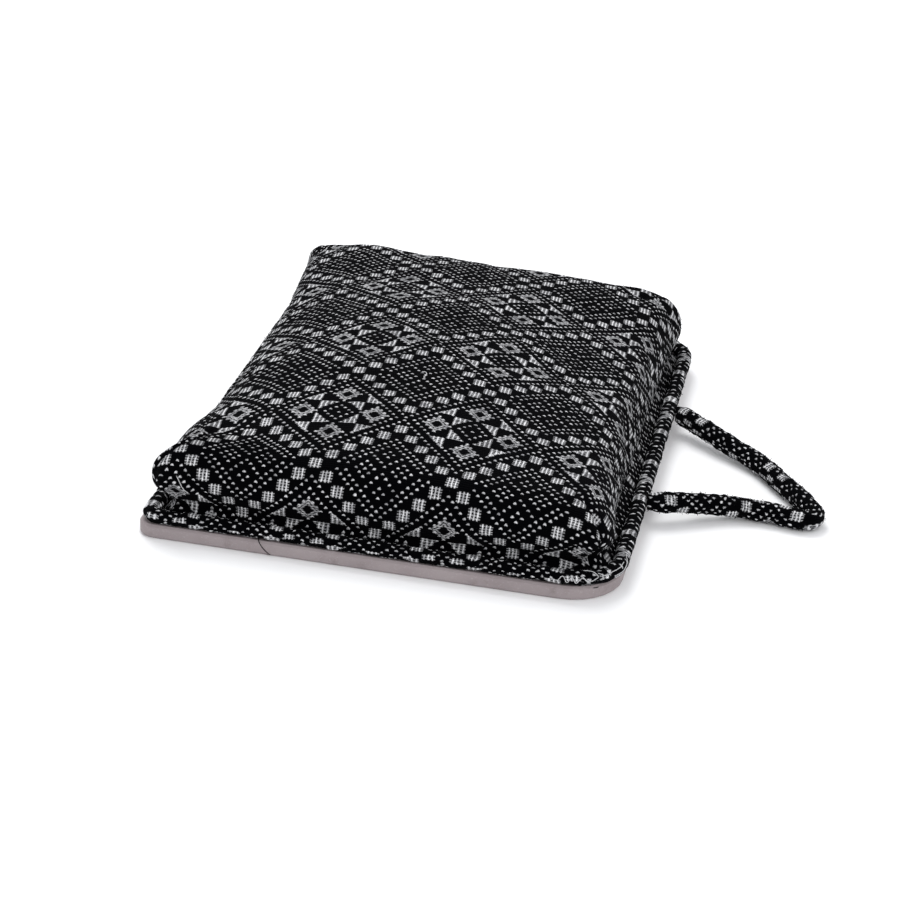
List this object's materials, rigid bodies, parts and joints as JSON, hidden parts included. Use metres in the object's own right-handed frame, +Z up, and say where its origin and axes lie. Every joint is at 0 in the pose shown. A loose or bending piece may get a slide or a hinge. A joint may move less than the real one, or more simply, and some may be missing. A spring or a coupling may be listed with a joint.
{
  "type": "laptop pillow",
  "caption": "Lap desk: flat rounded board on a filled, woven-cloth cushion with piping round its foot and a padded carrying loop at one side, stored board down",
  "frame": {"origin": "middle of the board's underside, the flat face that the pillow lies on and that a laptop stands on in use", "axes": "+Z up out of the cushion's crown, +X along the board's short side towards the carrying loop, +Y along the board's long side"},
  "size_m": [0.4589, 0.433, 0.0851],
  "materials": {
    "board": "matte greige stain on sheet wood, faintly clouded",
    "cover_cloth": "black cotton with a woven white lattice of blocks, dots and stars",
    "trim_cloth": "the same black and white woven cotton, wrapped round a cord"
  },
  "bodies": {
    "root": {"board": "board", "cushion": "cover_cloth", "piping": "trim_cloth", "handle": "trim_cloth"}
  },
  "joints": []
}
